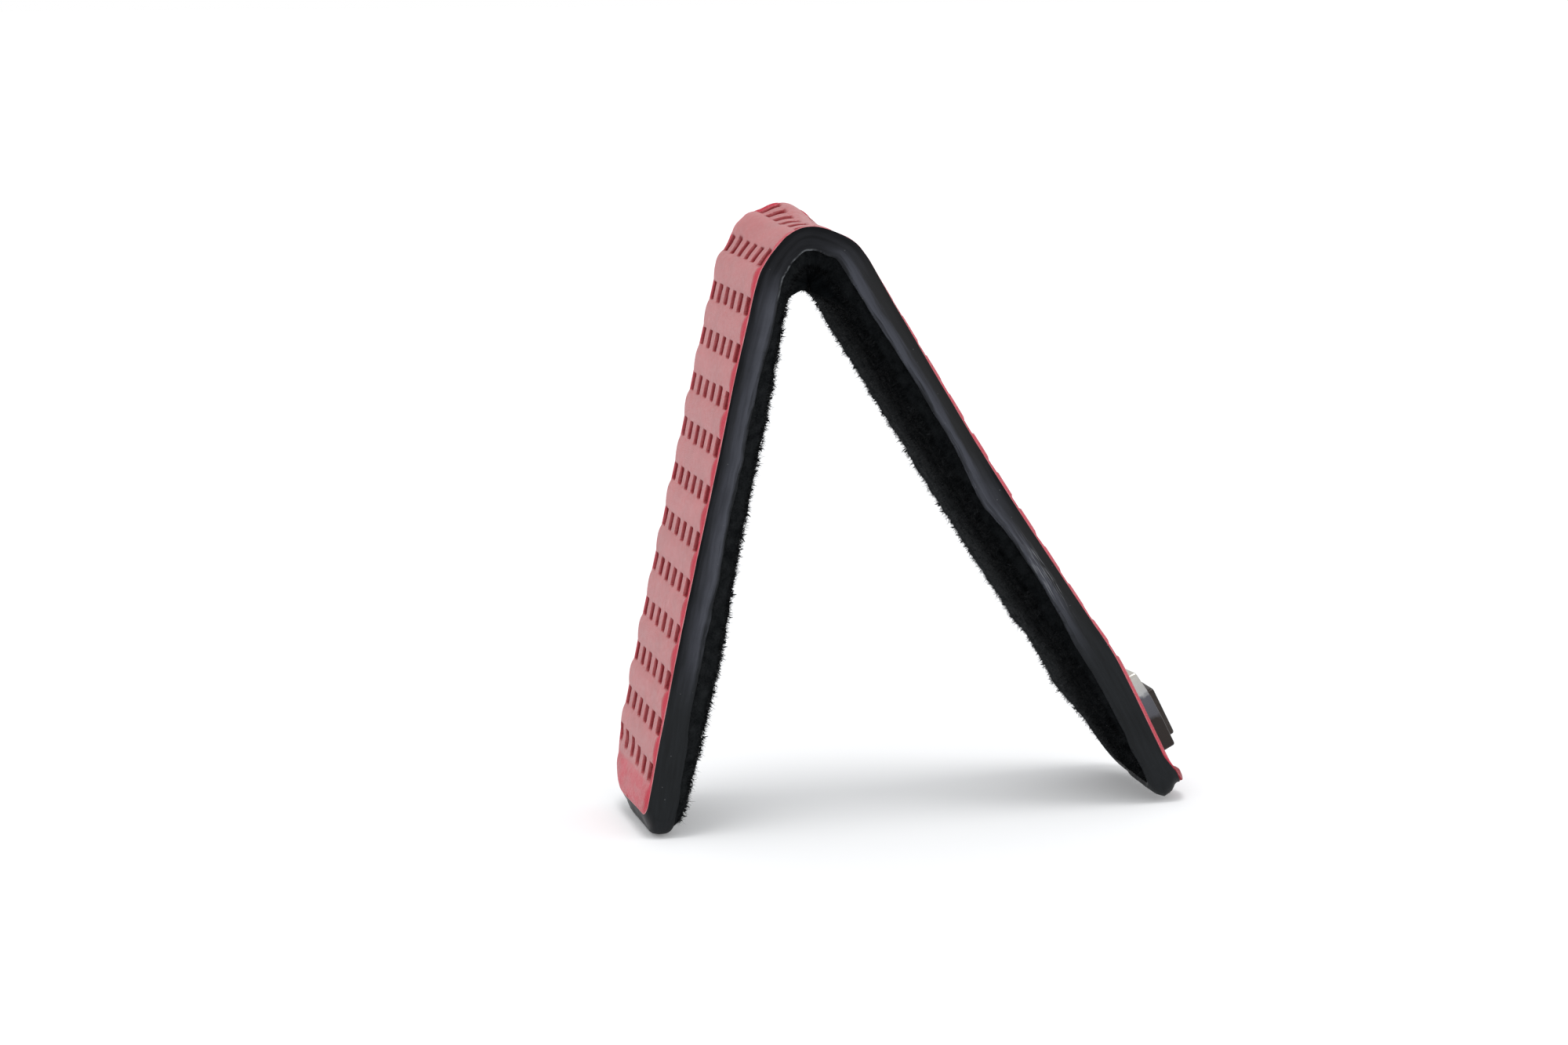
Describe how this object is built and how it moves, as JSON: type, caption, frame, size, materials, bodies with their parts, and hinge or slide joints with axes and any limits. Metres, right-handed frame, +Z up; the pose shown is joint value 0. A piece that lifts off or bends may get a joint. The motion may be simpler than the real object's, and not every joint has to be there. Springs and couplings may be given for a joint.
{
  "type": "magnetic money clip",
  "caption": "Folded leather strip with an embossed red outside and a black suede lining, standing open as an upside-down V; hidden magnets pull its two arms shut on folded notes.",
  "frame": {"origin": "middle of the bounding box's bottom, on the floor between the two feet", "axes": "+X from the front arm's foot to the back arm's foot, +Y along the fold, away from the picture's camera, +Z up"},
  "size_m": [0.0688, 0.02, 0.0738],
  "materials": {
    "embossed_leather": "red, embossed, semi-matte",
    "core_board": "bonded leather board",
    "magnet_steel": "nickel plated",
    "suede": "black, napped",
    "edge_paint": "black, satin",
    "badge_metal": "polished",
    "badge_dark": "black nickel",
    "plate_steel": "plain"
  },
  "bodies": {
    "front_arm": {"front_leather": "embossed_leather", "front_core": "core_board", "front_upper_magnet": "magnet_steel", "front_lower_magnet": "magnet_steel", "front_lining": "suede", "front_edge_coat": "edge_paint", "fold_leather": "embossed_leather", "fold_filler": "core_board", "fold_lining": "suede", "fold_edge_coat_near": "edge_paint", "fold_edge_coat_far": "edge_paint"},
    "back_arm": {"back_leather": "embossed_leather", "back_core": "core_board", "back_upper_magnet": "magnet_steel", "back_lower_magnet": "magnet_steel", "back_lining": "suede", "back_edge_coat": "edge_paint", "badge_base": "badge_metal", "badge_top": "badge_dark", "badge_plate": "plate_steel"}
  },
  "joints": [
    {"name": "fold", "type": "hinge", "parent": "front_arm", "child": "back_arm", "pos_m": [-0.01388, 0, 0.07028], "axis": [0, -1, 0], "range_deg": [-45.4, 60], "stiffness_Nm_per_rad": 0.12, "deforming": ["fold_leather", "fold_filler", "fold_lining", "fold_edge_coat_near", "fold_edge_coat_far"]}
  ]
}
